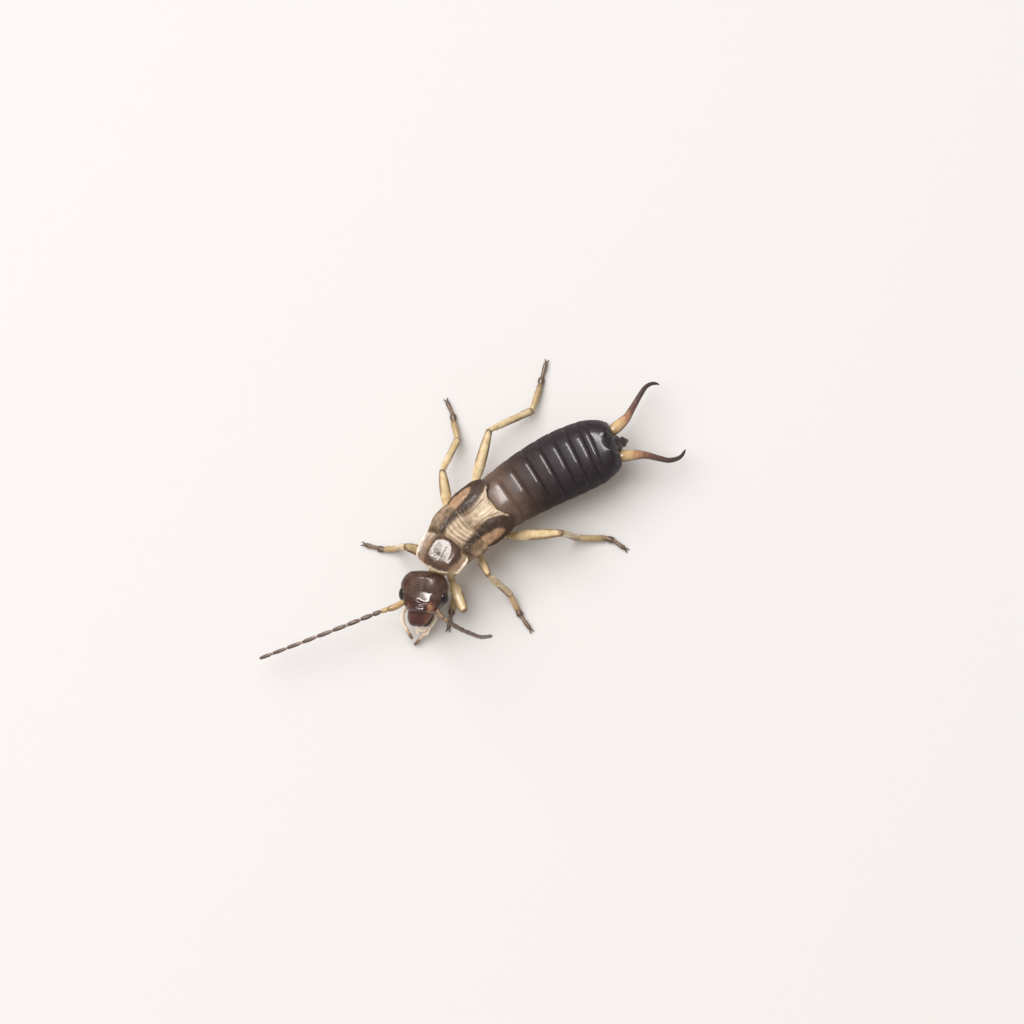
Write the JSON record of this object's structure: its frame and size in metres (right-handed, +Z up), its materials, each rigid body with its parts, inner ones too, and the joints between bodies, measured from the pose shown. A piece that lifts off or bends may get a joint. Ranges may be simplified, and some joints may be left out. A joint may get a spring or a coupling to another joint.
{
  "type": "earwig nymph",
  "caption": "Life-size still model of an earwig nymph, feet flat on the floor, one feeler raised, short wing pads and slim open forceps.",
  "frame": {"origin": "on the floor, under the middle of the whole model", "axes": "+Z up; the head points to -Y and the forceps to +Y; the animal's left is +X"},
  "size_m": [0.009, 0.018, 0.0055],
  "materials": {
    "head_shell": "polished dark red-brown horny shell",
    "mouthparts": "glossy chestnut horn",
    "palps": "pale translucent skin",
    "eyes": "glossy near-black facets",
    "feeler_base": "satin straw-coloured horn",
    "feelers": "downy grey-brown horn with pale joints",
    "pronotum_shield": "polished brown disc with pale translucent rim",
    "thorax_skin": "satin tan horn with fine cross folds",
    "wing_pads": "satin brown horn with pale margin",
    "underside_skin": "soft pale skin",
    "abdomen_shell": "polished blue-black horn, browner in front",
    "leg_skin": "satin translucent straw horn",
    "feet": "straw horn with brown tips",
    "forceps": "glossy red-brown horn, straw base, dark tip"
  },
  "bodies": {
    "root": {"pronotum": "pronotum_shield", "prothorax": "underside_skin", "forewing_pad_left": "wing_pads", "hindwing_pad_left": "wing_pads", "forewing_pad_right": "wing_pads", "hindwing_pad_right": "wing_pads", "mesothorax": "thorax_skin", "metathorax": "thorax_skin", "abdomen_segment_1": "abdomen_shell", "abdomen_segment_2": "abdomen_shell", "abdomen_segment_3": "abdomen_shell", "abdomen_segment_4": "abdomen_shell", "abdomen_segment_5": "abdomen_shell", "abdomen_segment_6": "abdomen_shell", "abdomen_segment_7": "abdomen_shell", "abdomen_segment_8": "abdomen_shell", "abdomen_last_segment": "abdomen_shell", "pygidium": "forceps", "cercus_left": "forceps", "cercus_right": "forceps", "eye_left": "eyes", "eye_right": "eyes", "head": "head_shell", "neck": "underside_skin", "labrum": "mouthparts", "labium": "palps", "mandible_left": "mouthparts", "maxillary_palp_left": "palps", "mandible_right": "mouthparts", "maxillary_palp_right": "palps", "antenna_left_root": "feeler_base", "antenna_left_middle": "feelers", "antenna_left_end": "feelers", "antenna_right_root": "feeler_base", "antenna_right_middle": "feelers", "antenna_right_end": "feelers", "coxa_front_left": "leg_skin", "femur_front_left": "leg_skin", "tibia_front_left": "leg_skin", "tarsus_front_left": "feet", "coxa_front_right": "leg_skin", "femur_front_right": "leg_skin", "tibia_front_right": "leg_skin", "tarsus_front_right": "feet", "coxa_middle_left": "leg_skin", "femur_middle_left": "leg_skin", "tibia_middle_left": "leg_skin", "tarsus_middle_left": "feet", "coxa_middle_right": "leg_skin", "femur_middle_right": "leg_skin", "tibia_middle_right": "leg_skin", "tarsus_middle_right": "feet", "coxa_hind_left": "leg_skin", "femur_hind_left": "leg_skin", "tibia_hind_left": "leg_skin", "tarsus_hind_left": "feet", "coxa_hind_right": "leg_skin", "femur_hind_right": "leg_skin", "tibia_hind_right": "leg_skin", "tarsus_hind_right": "feet"}
  },
  "joints": []
}
